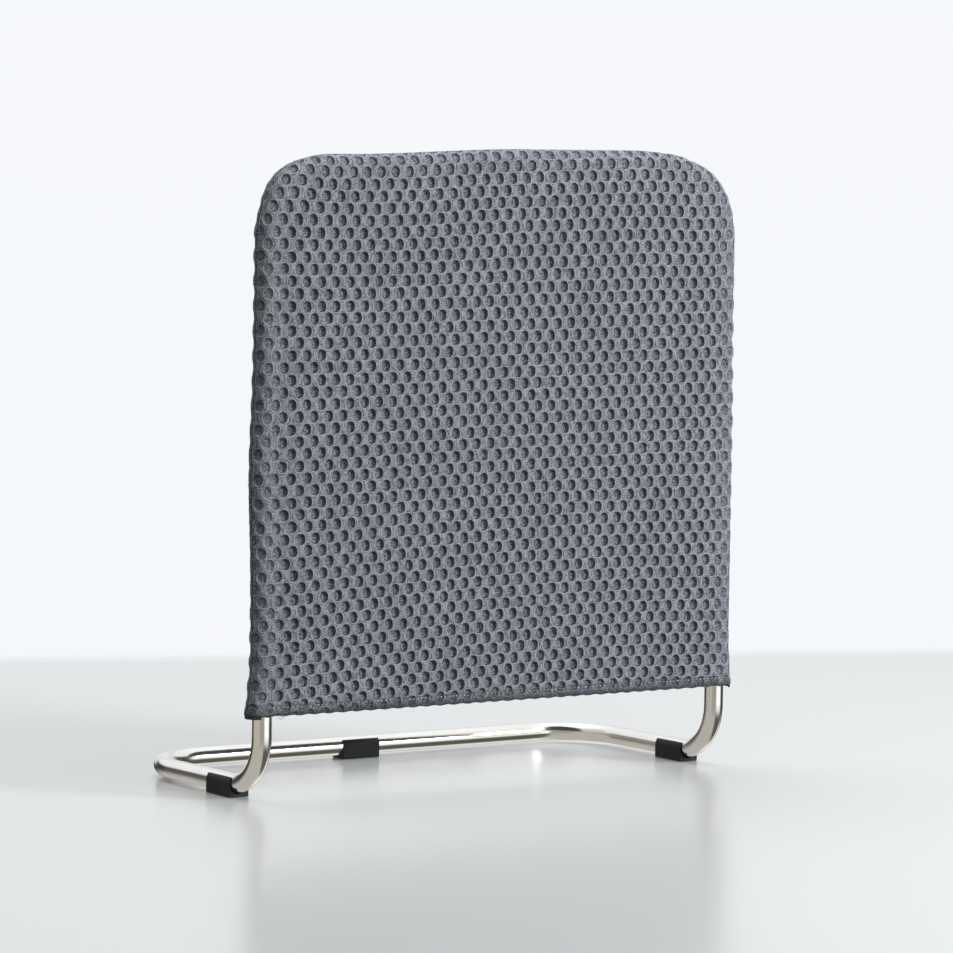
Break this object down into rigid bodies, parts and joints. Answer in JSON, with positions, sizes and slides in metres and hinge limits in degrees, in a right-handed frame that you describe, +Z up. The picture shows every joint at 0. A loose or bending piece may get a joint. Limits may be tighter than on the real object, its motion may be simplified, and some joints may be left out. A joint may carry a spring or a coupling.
{
  "type": "portable back support",
  "caption": "Free-standing back support: a bent-tube frame on clip-on feet with a pull-off spacer-mesh sleeve stretched over its upright hoop.",
  "frame": {"origin": "on the floor, under the middle of the object's bounding box", "axes": "+Z up along the uprights, +X to the sitter's left as seen from the front, -Y towards the sitter's side (the front panel), +Y towards the rear bar"},
  "size_m": [0.3594, 0.1616, 0.3917],
  "materials": {
    "frame_steel": "satin polished stainless steel",
    "spigot_steel": "turned steel, hidden inside the tube",
    "foot_black": "moulded, fine matt texture",
    "mesh_grey": "knitted spacer mesh with staggered oval cells",
    "tape_black": "woven binding tape",
    "thread_grey": "sewing thread"
  },
  "bodies": {
    "frame": {"frame_left": "frame_steel", "frame_right": "frame_steel", "top_spigot": "spigot_steel", "rear_spigot": "spigot_steel"},
    "foot_left": {"foot_left": "foot_black"},
    "foot_right": {"foot_right": "foot_black"},
    "foot_rear": {"foot_rear": "foot_black"},
    "cover": {"cover_front": "mesh_grey", "cover_back": "mesh_grey", "seam_tape": "tape_black", "hem_thread_front": "thread_grey", "hem_thread_back": "thread_grey"}
  },
  "joints": [
    {"name": "cover_lift", "type": "slide", "parent": "frame", "child": "cover", "axis": [0, 0, 1], "range_m": [0, 0.345]},
    {"name": "foot_left_slide", "type": "slide", "parent": "frame", "child": "foot_left", "axis": [0, 1, 0], "range_m": [0, 0.05]},
    {"name": "foot_right_slide", "type": "slide", "parent": "frame", "child": "foot_right", "axis": [0, 1, 0], "range_m": [0, 0.05]},
    {"name": "foot_rear_slide", "type": "slide", "parent": "frame", "child": "foot_rear", "axis": [1, 0, 0], "range_m": [-0.105, 0.12]}
  ]
}
